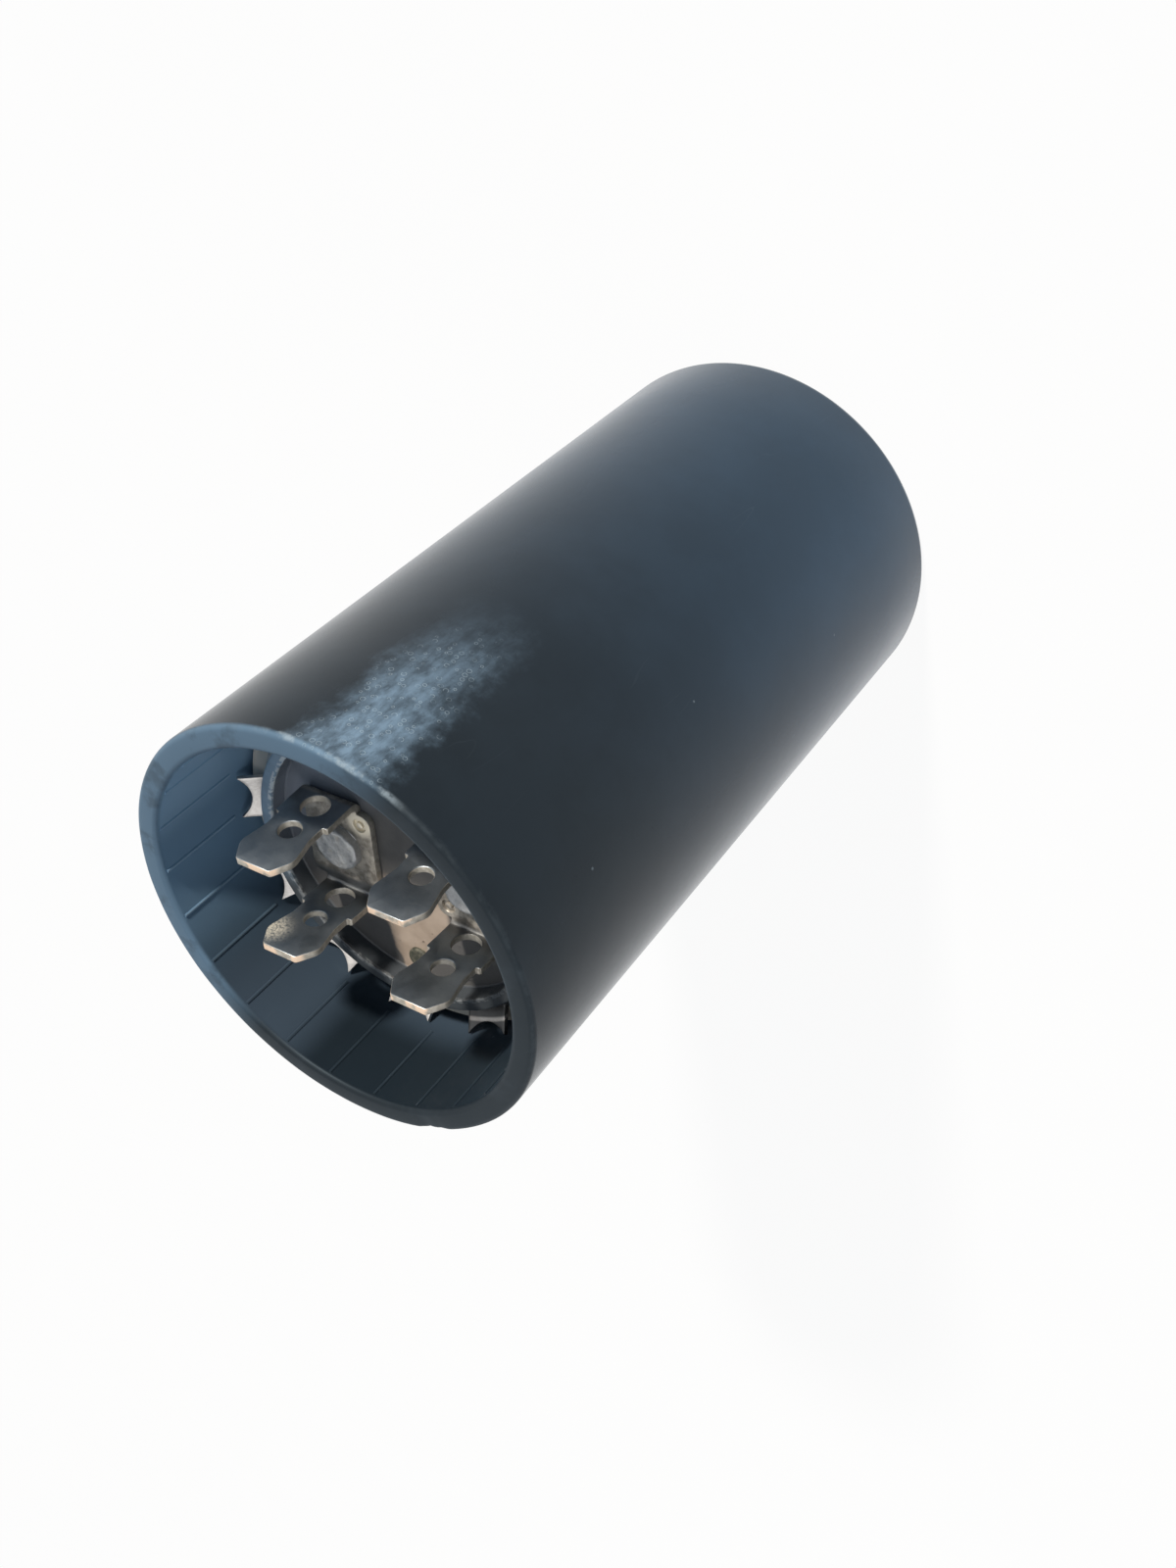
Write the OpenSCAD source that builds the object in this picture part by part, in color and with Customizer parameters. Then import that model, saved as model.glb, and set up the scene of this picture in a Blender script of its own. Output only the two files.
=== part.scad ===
/* [Case] */
// Outside diameter of the moulded case
case_d = 46; // [44:0.5:66]
// Height of the case from its closed end to its rim
case_h = 85.7; // [78:0.1:120]
// Wall of the case around its mouth
case_wall = 2.5; // [1.8:0.1:3]
// Width of the inner seat that carries the cover
seat_w = 0.9; // [0.6:0.1:1.4]
// Thickness of the closed end
case_floor = 2.5; // [1.5:0.1:5]
// Rounding of the edge of the closed end
foot_round = 1.2; // [0.4:0.1:2]
// Rounding of the two edges of the rim
rim_round = 0.6; // [0.2:0.1:0.8]
// Number of fine ribs inside the mouth
rib_count = 23; // [12:1:36]
// Width of a rib
rib_w = 0.45; // [0.3:0.05:1]
// Height of a rib above the wall
rib_h = 0.22; // [0.1:0.02:0.3]
// Angle of the first rib
rib_turn = 10.5; // [0:0.5:30]
// Gap between the ring's teeth and the ribs' lower ends
rib_gap = 0.6; // [0.3:0.1:2]

/* [Cover] */
// Depth of the terminal plate's face below the rim
recess_depth = 12.8; // [12:0.1:20]
// Thickness of the terminal plate
plate_t = 4; // [3:0.1:6]
// Gap between the terminal plate and the mouth
plate_clear = 0.3; // [0.25:0.05:0.6]
// Width of the plate's shoulder, from the mouth to its raised rim
shoulder_w = 3.9; // [3.4:0.1:4.5]
// Drop of the shoulder below the plate's face
shoulder_drop = 0.6; // [0:0.1:2]
// Width of the plate's raised rim
lip_w = 1.3; // [0.8:0.1:1.8]
// Height of the raised rim above the plate's face
lip_h = 2.3; // [1:0.1:3]
// Thickness of the sealing gasket
gasket_t = 1.5; // [1:0.1:3]
// Width of the sealing gasket
gasket_w = 3; // [2:0.1:5]
// Diameter of the vent plug's heads
vent_d = 2.6; // [2:0.1:4]
// Diameter of the vent plug's stem
vent_stem_d = 1.6; // [1:0.1:1.8]
// Height of each head of the vent plug
vent_head_h = 0.4; // [0.2:0.1:0.8]
// Distance of the vent plug's centre in from the plate's raised rim
vent_reach = 2.4; // [1.5:0.1:5]

/* [Retaining ring] */
// Thickness of the spring steel
ring_t = 0.5; // [0.3:0.05:0.8]
// Width of the ring's flat band
band_w = 1.2; // [0.8:0.1:1.6]
// Gap between the band and the plate's raised rim
band_clear = 0.2; // [0.1:0.05:0.4]
// Number of teeth
tooth_count = 12; // [6:1:14]
// Width of a tooth
tooth_w = 5.2; // [3:0.1:6]
// Angle at which the teeth are bent up
tooth_tilt = 40; // [20:1:55]
// Depth of the hollow in a tooth's end
tooth_hollow = 0.9; // [0.3:0.1:1.2]
// Gap between the tooth points and the mouth
tooth_clear = 0.1; // [0.05:0.05:0.3]
// Angle of the first tooth
tooth_turn = 26.5; // [0:0.5:60]

/* [Terminals] */
// Distance between the two terminal rivets, across the tabs' flat sides
terminal_spacing = 15.6; // [14.5:0.1:16.5]
// Offset of each rivet along the other direction
terminal_offset = 0.5; // [0:0.1:1]
// Width of a tab
tab_w = 6.35; // [4.8:0.05:6.5]
// Thickness of the terminal sheet
tab_t = 0.8; // [0.5:0.1:1]
// Depth of the tab tips below the rim
tip_depth = 0.75; // [0.2:0.05:1]
// Width of a tab's tip
tip_w = 4.1; // [3:0.1:4.6]
// Distance from the tip to the widest place above the neck
head_at = 2.4; // [1.8:0.1:3]
// Rounding of the sides at that place
head_round = 1.6; // [0.6:0.1:1.8]
// Distance from the tip to the start of the neck
neck_from = 5.1; // [4.2:0.1:5.6]
// Distance from the tip to the shoulder under the neck
neck_to = 7.1; // [6.4:0.1:7.4]
// Width of the neck
neck_w = 5.3; // [4.2:0.1:5.6]
// Diameter of the upper hole of a tab
latch_hole_d = 2.3; // [1.5:0.1:2.6]
// Distance from the tip to the upper hole's centre
latch_hole_at = 5.5; // [4.8:0.05:5.9]
// Diameter of the lower hole of a tab
eye_d = 3; // [2:0.1:3]
// Distance from the tip to the lower hole's centre
eye_at = 9.3; // [8.6:0.05:9.3]
// Distance between the roots of a terminal's two tabs
tab_gap = 11.5; // [11.4:0.1:12]
// Angle at which the two tabs lean towards each other
tab_lean = 3; // [1:0.5:5]
// Sideways step from one tab of a terminal to the other
tab_stagger = 1.2; // [0:0.1:1.6]
// Inner radius of the bend under each tab
bend_r = 0.4; // [0.2:0.1:0.6]
// Width of the strap between the tabs
strap_w = 8.2; // [7:0.1:8.6]
// Length of the wide part of the strap
strap_l = 9.6; // [6:0.1:9.8]
// Rounding of the wide part's corners
strap_round = 1.2; // [0.4:0.1:2]
// Diameter of the ring-shaped punch mark in the strap
mark_d = 1.5; // [1:0.1:1.8]
// Diameter of the pip inside the punch mark
pip_d = 0.7; // [0.3:0.1:0.9]
// Depth of the punch mark
mark_depth = 0.3; // [0.1:0.05:0.4]
// Distance of the punch mark from the wide part's two edges
mark_inset = 1.35; // [1:0.05:1.4]

/* [Rivets and leads] */
// Diameter of a rivet's outer head
rivet_head_d = 5.2; // [4:0.1:6]
// Height of a rivet's outer head
rivet_head_h = 1.1; // [0.6:0.1:1.6]
// Diameter of a rivet's shank
rivet_d = 2.6; // [2:0.1:3.2]
// Gap around a rivet's shank
rivet_clear = 0.05; // [0.02:0.01:0.15]
// Diameter of a rivet's inner head
rivet_foot_d = 4.4; // [3.8:0.1:5]
// Height of a rivet's inner head
rivet_foot_h = 1; // [0.6:0.1:1.6]
// Bevel around both heads
rivet_bevel = 0.3; // [0.1:0.05:0.5]
// Diameter of the washer under the plate
washer_d = 7; // [6:0.1:8]
// Thickness of that washer
washer_t = 1; // [0.5:0.1:1.5]
// Width of a lead strip
lead_w = 5; // [4:0.1:6]
// Thickness of a lead strip
lead_t = 0.3; // [0.2:0.05:0.5]
// Distance from the rivet to the upright part of its lead
lead_reach = 4.6; // [4.3:0.1:6]
// Length of the lead beyond the rivet
lead_tail = 2.6; // [2:0.1:4]

/* [Winding] */
// Room between the winding and the terminal plate, for the leads
head_room = 8.7; // [6:0.1:20]
// Diameter of the hole that the winding mandrel left
mandrel_d = 6; // [3:0.1:10]
// Gap between the wrapped winding and the case
winding_clear = 0.6; // [0.3:0.1:1.5]
// Thickness of the paper wrap
wrap_t = 0.5; // [0.2:0.1:1]
// Thickness of the pads under and over the winding
pad_t = 1; // [0.5:0.1:2]
// Gap around a lead in the upper pad's slot
slot_clear = 0.4; // [0.2:0.1:1]

/* [Hidden] */
$fn = 96;
round_steps = 6;
overlap = 0.2;

// Heights, from the closed end upwards
winding_z = case_floor + pad_t;
face_z = case_h - recess_depth;
plate_z = face_z - plate_t;
winding_top = plate_z - head_room;
winding_h = winding_top - winding_z;
seat_z = plate_z - gasket_t;
shoulder_z = face_z - shoulder_drop;
strap_top = face_z + tab_t;
tip_z = case_h - tip_depth;
bend_top = strap_top + bend_r;
tab_l = tip_z - bend_top;
washer_z = plate_z - lead_t - washer_t;

// Radii, from the case inwards
mouth_r = case_d / 2 - case_wall;
bore_r = mouth_r - seat_w;
plate_r = mouth_r - rib_h - plate_clear / 2;
lip_r = mouth_r - shoulder_w;
vent_y = vent_reach + lip_w - lip_r;
band_r = lip_r + band_clear;
root_r = band_r + band_w;
wrap_r = bore_r - winding_clear;

// The teeth: their points lie on a circle just inside the mouth
point_r = mouth_r - tooth_clear;
tooth_rise = (point_r - root_r) * tan(tooth_tilt);
tooth_top = shoulder_z + tooth_rise + ring_t * cos(tooth_tilt);
tooth_end = sqrt(point_r * point_r - tooth_w * tooth_w / 4);
hollow_r = (tooth_w * tooth_w / 4 + tooth_hollow * tooth_hollow) / (2 * tooth_hollow);

// Points of an arc in a profile, from one angle to another
function arc(x, y, r, from, to) = [
    for (i = [0:round_steps])
        let (a = from + (to - from) * i / round_steps)
            [x + r * cos(a), y + r * sin(a)]
];

module at_terminal(side) {
    rotate(side * 180)
        translate([-terminal_spacing / 2, -terminal_offset, 0])
            children();
}

// A moulded cup with a seat for the cover and fine ribs around its mouth
module case() {
    outer_r = case_d / 2;
    rib_z = tooth_top + rib_gap;
    color([0.12, 0.14, 0.17]) {
        rotate_extrude()
            polygon(concat(
                [[0, 0]],
                arc(outer_r - foot_round, foot_round, foot_round, -90, 0),
                arc(outer_r - rim_round, case_h - rim_round, rim_round, 0, 90),
                arc(mouth_r + rim_round, case_h - rim_round, rim_round, 90, 180),
                [[mouth_r, seat_z], [bore_r, seat_z], [bore_r, case_floor], [0, case_floor]]
            ));
        for (i = [0:rib_count - 1])
            rotate(rib_turn + i * 360 / rib_count)
                translate([mouth_r - rib_h, -rib_w / 2, rib_z])
                    cube([rib_h + overlap, rib_w, case_h - rim_round - rib_z]);
    }
}

module pad(z) {
    translate([0, 0, z])
        cylinder(r = wrap_r, h = pad_t);
}

// A card disc that keeps the winding off the closed end
module bottom_pad() {
    color([0.62, 0.5, 0.36])
        pad(case_floor);
}

// Foil and paper wound into one roll, with the hole of the mandrel
module winding() {
    color([0.72, 0.72, 0.7])
        translate([0, 0, winding_z])
            difference() {
                cylinder(r = wrap_r - wrap_t, h = winding_h);
                translate([0, 0, -overlap])
                    cylinder(d = mandrel_d, h = winding_h + 2 * overlap);
            }
}

// Turns of paper that hold the roll closed
module winding_wrap() {
    color([0.7, 0.58, 0.42])
        translate([0, 0, winding_z])
            difference() {
                cylinder(r = wrap_r, h = winding_h);
                translate([0, 0, -overlap])
                    cylinder(r = wrap_r - wrap_t, h = winding_h + 2 * overlap);
            }
}

// A card disc on the roll, slotted for the two leads
module top_pad() {
    color([0.62, 0.5, 0.36])
        difference() {
            pad(winding_top);
            for (side = [0, 1])
                at_terminal(side)
                    translate([-lead_reach - slot_clear, -lead_w / 2 - slot_clear, winding_top - overlap])
                        cube([lead_t + 2 * slot_clear, lead_w + 2 * slot_clear, pad_t + 2 * overlap]);
        }
}

// A flat rubber ring between the case's seat and the terminal plate
module sealing_gasket() {
    color([0.08, 0.08, 0.08])
        translate([0, 0, seat_z])
            difference() {
                cylinder(r = plate_r, h = gasket_t);
                translate([0, 0, -overlap])
                    cylinder(r = plate_r - gasket_w, h = gasket_t + 2 * overlap);
            }
}

// The moulded cover, with a raised rim inside a shoulder for the ring
module terminal_plate() {
    lip_round = lip_w / 2;
    lip_top = face_z + lip_h - lip_round;
    color([0.2, 0.18, 0.17])
        difference() {
            rotate_extrude()
                polygon(concat(
                    [[0, plate_z], [plate_r, plate_z], [plate_r, shoulder_z], [lip_r, shoulder_z]],
                    arc(lip_r - lip_round, lip_top, lip_round, 0, 180),
                    [[lip_r - lip_w, face_z], [0, face_z]]
                ));
            for (side = [0, 1])
                at_terminal(side)
                    translate([0, 0, plate_z - overlap])
                        cylinder(r = rivet_d / 2 + rivet_clear, h = plate_t + 2 * overlap);
            translate([0, vent_y, plate_z - overlap])
                cylinder(d = vent_stem_d, h = plate_t + 2 * overlap);
        }
}

// A rubber plug that blows out of the plate under pressure
module vent_plug() {
    color([0.22, 0.24, 0.22])
        translate([0, vent_y, plate_z - vent_head_h]) {
            cylinder(d = vent_d, h = vent_head_h);
            cylinder(d = vent_stem_d, h = plate_t + 2 * vent_head_h);
            translate([0, 0, plate_t + vent_head_h])
                cylinder(d = vent_d, h = vent_head_h);
        }
}

// The ring's section turned full circle: a flat band with a bent-up edge
module dished_ring() {
    rotate_extrude()
        polygon([
            [band_r, 0],
            [root_r, 0],
            [point_r, tooth_rise],
            [point_r - ring_t * sin(tooth_tilt), tooth_rise + ring_t * cos(tooth_tilt)],
            [root_r - ring_t * tan(tooth_tilt / 2), ring_t],
            [band_r, ring_t]
        ]);
}

module at_teeth() {
    for (i = [0:tooth_count - 1])
        rotate(tooth_turn + i * 360 / tooth_count)
            children();
}

// A spring steel ring that bites into the mouth and holds the cover down;
// the hollow end of each tooth leaves it two points
module retaining_ring() {
    cut_h = tooth_rise + ring_t + 2 * overlap;
    color([0.72, 0.73, 0.74])
        translate([0, 0, shoulder_z])
            difference() {
                intersection() {
                    dished_ring();
                    translate([0, 0, -overlap])
                        union() {
                            cylinder(r = root_r, h = cut_h);
                            at_teeth()
                                translate([0, -tooth_w / 2, 0])
                                    cube([mouth_r, tooth_w, cut_h]);
                        }
                }
                translate([0, 0, -overlap])
                    at_teeth()
                        translate([tooth_end + hollow_r - tooth_hollow, 0, 0])
                            cylinder(r = hollow_r, h = cut_h);
            }
}

// The flat form of a tab, from the bend to the tip, with its two holes
module tab_outline() {
    head_x = tab_w / 2 - head_round;
    to_tip = [tip_w / 2 - head_x, head_at];
    to_neck = [neck_w / 2 - head_x, head_at - neck_from];
    tip_turn = atan2(to_tip[1], to_tip[0]) - acos(head_round / norm(to_tip));
    neck_turn = atan2(to_neck[1], to_neck[0]) + acos(head_round / norm(to_neck));
    side = concat(
        [
            [tab_w / 2, 0],
            [tab_w / 2, tab_l - neck_to],
            [neck_w / 2, tab_l - neck_to],
            [neck_w / 2, tab_l - neck_from]
        ],
        arc(head_x, tab_l - head_at, head_round, neck_turn, tip_turn),
        [[tip_w / 2, tab_l]]
    );
    last = len(side) - 1;
    difference() {
        polygon(concat(side, [for (i = [last:-1:0]) [-side[i][0], side[i][1]]]));
        translate([0, tab_l - latch_hole_at])
            circle(d = latch_hole_d);
        translate([0, tab_l - eye_at])
            circle(d = eye_d);
    }
}

// A tab with the bend and the strip that join it to the strap's middle
module tab() {
    outer_r = bend_r + tab_t;
    bend_y = tab_gap / 2 - tab_t / 2 - bend_r;
    translate([-tab_stagger / 2, bend_y, bend_top]) {
        rotate([tab_lean, 0, 0])
            translate([0, bend_r + tab_t / 2, 0])
                rotate([90, 0, 0])
                    linear_extrude(tab_t, center = true)
                        tab_outline();
        translate([-tab_w / 2, 0, 0])
            rotate([90, 0, 90])
                linear_extrude(tab_w)
                    intersection() {
                        difference() {
                            circle(r = outer_r);
                            circle(r = bend_r);
                        }
                        polygon([
                            [0, 0],
                            [0, -2 * outer_r],
                            [2 * outer_r, -2 * outer_r],
                            [2 * outer_r * cos(tab_lean), 2 * outer_r * sin(tab_lean)]
                        ]);
                    }
        translate([-tab_w / 2, -bend_y, -outer_r])
            cube([tab_w, bend_y, tab_t]);
    }
}

// The wide part of the strap, seen from above
module strap_outline() {
    corner_x = strap_w / 2 - strap_round;
    corner_y = strap_l / 2 - strap_round;
    square([2 * corner_x, strap_l], center = true);
    square([strap_w, 2 * corner_y], center = true);
    for (x = [-corner_x, corner_x], y = [-corner_y, corner_y])
        translate([x, y])
            circle(r = strap_round);
}

// A double terminal: one strap bent up into a tab at each end
module terminal(side) {
    color([0.5, 0.5, 0.5])
        at_terminal(side)
            difference() {
                union() {
                    for (turn = [0, 180])
                        rotate(turn)
                            tab();
                    translate([0, 0, face_z])
                        linear_extrude(tab_t)
                            strap_outline();
                }
                translate([0, 0, face_z - overlap])
                    cylinder(r = rivet_d / 2 + rivet_clear, h = tab_t + 2 * overlap);
                translate([strap_w / 2 - mark_inset, strap_l / 2 - mark_inset, strap_top - mark_depth])
                    difference() {
                        cylinder(d = mark_d, h = mark_depth + overlap);
                        cylinder(d = pip_d, h = mark_depth);
                    }
            }
}

module terminal_a() {
    terminal(0);
}

module terminal_b() {
    terminal(1);
}

// A rivet clamps a terminal, the plate, a lead and a washer together
module rivet(side) {
    shank_z = washer_z - rivet_foot_h;
    head_r = rivet_head_d / 2;
    foot_r = rivet_foot_d / 2;
    head_top = strap_top + rivet_head_h;
    color([0.62, 0.64, 0.66])
        at_terminal(side)
            rotate_extrude()
                polygon([
                    [0, shank_z],
                    [foot_r - rivet_bevel, shank_z],
                    [foot_r, shank_z + rivet_bevel],
                    [foot_r, washer_z],
                    [rivet_d / 2, washer_z],
                    [rivet_d / 2, strap_top],
                    [head_r, strap_top],
                    [head_r, head_top - rivet_bevel],
                    [head_r - rivet_bevel, head_top],
                    [0, head_top]
                ]);
}

module rivet_a() {
    rivet(0);
}

module rivet_b() {
    rivet(1);
}

// A steel washer that spreads the rivet's load on the lead
module washer(side) {
    color([0.6, 0.6, 0.62])
        at_terminal(side)
            translate([0, 0, washer_z])
                difference() {
                    cylinder(d = washer_d, h = washer_t);
                    translate([0, 0, -overlap])
                        cylinder(r = rivet_d / 2 + rivet_clear, h = washer_t + 2 * overlap);
                }
}

module washer_a() {
    washer(0);
}

module washer_b() {
    washer(1);
}

// An aluminium strip from the roll's upper end to its rivet
module lead(side) {
    lead_z = plate_z - lead_t;
    color([0.78, 0.78, 0.78])
        at_terminal(side)
            difference() {
                union() {
                    translate([-lead_reach, -lead_w / 2, lead_z])
                        cube([lead_reach + lead_tail, lead_w, lead_t]);
                    translate([-lead_reach, -lead_w / 2, winding_top])
                        cube([lead_t, lead_w, plate_z - winding_top]);
                }
                translate([0, 0, lead_z - overlap])
                    cylinder(r = rivet_d / 2 + rivet_clear, h = lead_t + 2 * overlap);
            }
}

module lead_a() {
    lead(0);
}

module lead_b() {
    lead(1);
}

case();
bottom_pad();
winding();
winding_wrap();
top_pad();
sealing_gasket();
terminal_plate();
vent_plug();
retaining_ring();
terminal_a();
terminal_b();
rivet_a();
rivet_b();
washer_a();
washer_b();
lead_a();
lead_b();
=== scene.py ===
# A motor start capacitor that stands on its closed end: a round moulded case, open at the top,
# with two double blade terminals riveted to a cover deep in its mouth.
# Shapes are drawn in millimetres. Finished meshes, and places in the finishes, are in metres.
import math

import bmesh
import bpy
from mathutils import Matrix, Vector, noise


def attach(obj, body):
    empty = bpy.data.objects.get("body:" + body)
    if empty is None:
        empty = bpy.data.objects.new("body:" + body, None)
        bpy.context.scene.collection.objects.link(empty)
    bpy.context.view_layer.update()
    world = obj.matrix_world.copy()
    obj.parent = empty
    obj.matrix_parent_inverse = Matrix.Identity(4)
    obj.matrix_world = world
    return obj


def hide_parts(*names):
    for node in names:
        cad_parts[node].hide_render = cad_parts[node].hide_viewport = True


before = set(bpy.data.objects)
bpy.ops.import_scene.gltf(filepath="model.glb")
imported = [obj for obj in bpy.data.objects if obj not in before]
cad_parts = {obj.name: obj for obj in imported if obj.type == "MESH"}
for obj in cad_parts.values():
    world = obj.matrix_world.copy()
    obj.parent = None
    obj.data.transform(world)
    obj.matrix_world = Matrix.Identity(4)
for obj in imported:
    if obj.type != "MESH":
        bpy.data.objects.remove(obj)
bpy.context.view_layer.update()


# The card discs under and over the winding. Grey-brown pressed board, punched from sheet and
# laid in loose, so that the roll touches neither the closed end nor the cover.
def finish(name):
    """A new material, with its node tree and its shader."""
    made = bpy.data.materials.new(name)
    made.use_nodes = True
    return made, made.node_tree, made.node_tree.nodes["Principled BSDF"]


def put(tree, kind, inputs=(), **options):
    """Adds one node. Inputs are given by name or number, each a value or another node's output."""
    node = tree.nodes.new(kind)
    for key, value in options.items():
        setattr(node, key, value)
    for key, value in dict(inputs).items():
        if isinstance(value, bpy.types.NodeSocket):
            tree.links.new(value, node.inputs[key])
        else:
            if isinstance(value, tuple) and node.inputs[key].type == "RGBA":
                value = (*value[:3], 1.0)
            node.inputs[key].default_value = value
    return node


def own_place(tree, stretch=None, turn=(0.0, 0.0, 0.0)):
    """The point on the piece itself, stretched or turned for a pattern that has a direction."""
    place = put(tree, "ShaderNodeTexCoord").outputs["Object"]
    if stretch:
        place = put(tree, "ShaderNodeMapping",
                    {"Vector": place, "Scale": stretch, "Rotation": turn}).outputs["Vector"]
    return place


def clouds(tree, place, scale, detail=3.0, rough=0.55):
    """A soft random pattern, finer where the scale is larger."""
    return put(tree, "ShaderNodeTexNoise", {"Vector": place, "Scale": scale, "Detail": detail,
                                            "Roughness": rough}).outputs["Fac"]


def ramp(tree, value, low, high, to_low=0.0, to_high=1.0):
    """Rises smoothly from to_low to to_high while value goes from low to high."""
    return put(tree, "ShaderNodeMapRange", {"Value": value, "From Min": low, "From Max": high,
                                            "To Min": to_low, "To Max": to_high},
               interpolation_type="SMOOTHSTEP").outputs["Result"]


def blended(tree, amount, first, second):
    """One colour laid over another by an amount from 0 to 1."""
    return put(tree, "ShaderNodeMix", {0: amount, 6: first, 7: second}, data_type="RGBA").outputs[2]


def shades(tree, value, low, high, dark, light):
    """Goes from one colour to another while value goes from low to high."""
    return blended(tree, ramp(tree, value, low, high), dark, light)


def relief(tree, height, depth, under=None):
    """A bump of so many metres, on top of another where one is given."""
    node = put(tree, "ShaderNodeBump", {"Height": height, "Distance": depth})
    if under:
        tree.links.new(under, node.inputs["Normal"])
    return node.outputs["Normal"]


def dress(tree, shader, colour, rough, bump):
    """Joins a colour, a roughness and a bump to the shader."""
    for socket, value in (("Base Color", colour), ("Roughness", rough), ("Normal", bump)):
        tree.links.new(value, shader.inputs[socket])


def wear(node_name, material):
    """Gives a solid that stays as it is its finish."""
    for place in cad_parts[node_name].material_slots:
        place.material = material


card_dark, card_light = (0.20, 0.145, 0.095), (0.42, 0.33, 0.23)
card, tree, shader = finish("pressed card")
flecks = clouds(tree, own_place(tree, (1.0, 0.25, 1.0)), 2600, 4.0)
dress(tree, shader, shades(tree, flecks, 0.38, 0.66, card_dark, card_light),
      ramp(tree, clouds(tree, own_place(tree), 900), 0.3, 0.7, 0.78, 0.95),
      relief(tree, flecks, 0.00005))
for name in ("bottom_pad", "top_pad"):
    wear(name, card)


# The winding: two aluminium foils and damp paper rolled together on a mandrel. The ends show
# the edges of the turns as fine bright and brown rings.
paper_brown, foil_bright = (0.30, 0.22, 0.14), (0.68, 0.68, 0.66)
foil, tree, shader = finish("wound foil and paper")
turns = put(tree, "ShaderNodeTexWave", {"Vector": own_place(tree), "Scale": 1500.0,
                                        "Distortion": 1.2, "Detail": 2.0, "Detail Scale": 3.0},
            wave_type="RINGS", rings_direction="Z").outputs["Fac"]
bright = ramp(tree, turns, 0.35, 0.6)
dress(tree, shader, blended(tree, bright, paper_brown, foil_bright),
      ramp(tree, clouds(tree, own_place(tree), 700), 0.3, 0.7, 0.35, 0.55),
      relief(tree, turns, 0.00004))
tree.links.new(bright, shader.inputs["Metallic"])
wear("winding", foil)


# The wrapper: one turn of brown kraft paper round the roll, gummed down along its edge. It
# keeps the turns tight while the roll goes into the case.
def two_tone(name, dark, light, fade, rough, depth, grain, detail=4.0, stretch=None, metal=0.0):
    """A finish in two tones of one grain, which also gives the roughness and the bump."""
    made, tree, shader = finish(name)
    grainy = clouds(tree, own_place(tree, stretch), grain, detail)
    dress(tree, shader, shades(tree, grainy, *fade, dark, light),
          ramp(tree, grainy, 0.3, 0.7, *rough), relief(tree, grainy, depth))
    shader.inputs["Metallic"].default_value = metal
    return made


kraft = two_tone("kraft paper", (0.34, 0.22, 0.12), (0.52, 0.37, 0.22), fade=(0.35, 0.68),
                 rough=(0.65, 0.85), depth=0.00003, grain=3000, stretch=(1.0, 1.0, 0.12))
wear("winding_wrap", kraft)


# The case: a thick cup moulded in black phenolic plastic, with a plain wall, a small round at
# the foot and rim, a seat for the cover, and fine ribs up the inside of the mouth.
MM = 0.001
case_r, case_h, foot_round, rim_round = 23.0, 85.7, 1.2, 0.6
mouth_r, bore_r, seat_z, floor_z = 20.5, 19.6, 67.4, 2.5
rib_count, rib_turn, rib_w, rib_sunk, rib_from, rib_to = 23, 10.5, 0.45, 0.1, 75.3, 85.1
nick_turn, nick_wide, nick_deep = 296.0, 2.6, 0.2
case_steps = 288


def bow(mid, height, radius, start, end, steps=6):
    """Points of a round, from one angle to another in degrees."""
    angles = [math.radians(start + (end - start) * i / steps) for i in range(steps + 1)]
    return [(mid + radius * math.cos(a), height + radius * math.sin(a)) for a in angles]


def turned(name, section, steps, centre=(0.0, 0.0), shape=None):
    """A mesh turned round the upright axis from (radius, height) points; shape can move each."""
    points, rings, faces = [], [], []
    for radius, height in section:
        ring = []
        for i in range(steps if radius > 1e-6 else 1):
            angle = 2 * math.pi * i / steps
            r, z = shape(radius, height, angle) if shape and radius > 1e-6 else (radius, height)
            ring.append(len(points))
            points.append(((centre[0] + r * math.cos(angle)) * MM,
                           (centre[1] + r * math.sin(angle)) * MM, z * MM))
        rings.append(ring)
    for low, high in zip(rings, rings[1:]):
        for i in range(steps):
            j = (i + 1) % steps
            corners = [low[i % len(low)], low[j % len(low)],
                       high[j % len(high)], high[i % len(high)]]
            faces.append(list(dict.fromkeys(corners)))
    mesh = bpy.data.meshes.new(name)
    mesh.from_pydata(points, [], faces)
    mesh.validate()
    return mesh


def set_down(name, data):
    """A new object in the scene, at the origin."""
    thing = bpy.data.objects.new(name, data)
    bpy.context.scene.collection.objects.link(thing)
    return thing


def placed(name, mesh, sharp=32.0):
    """A new piece at the origin, smooth apart from its sharp corners."""
    mesh.shade_smooth()
    mesh.set_sharp_from_angle(angle=math.radians(sharp))
    return set_down(name, mesh)


def pattern(name, sizes):
    """A new Geometry Nodes tree with a named input for each size."""
    tree = bpy.data.node_groups.new(name, "GeometryNodeTree")
    tree.interface.new_socket("Geometry", in_out="INPUT", socket_type="NodeSocketGeometry")
    for label, kind in sizes.items():
        tree.interface.new_socket(label, in_out="INPUT", socket_type="NodeSocket" + kind)
    tree.interface.new_socket("Geometry", in_out="OUTPUT", socket_type="NodeSocketGeometry")
    return tree, put(tree, "NodeGroupInput"), put(tree, "NodeGroupOutput")


def copies(tree, spots, item, spin):
    """Real copies of an item, one on each spot with its own turn."""
    row = put(tree, "GeometryNodeInstanceOnPoints",
              {"Points": spots.outputs[0], "Instance": item, "Rotation": spin.outputs[0]})
    return put(tree, "GeometryNodeRealizeInstances", {0: row.outputs[0]}).outputs[0]


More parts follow.
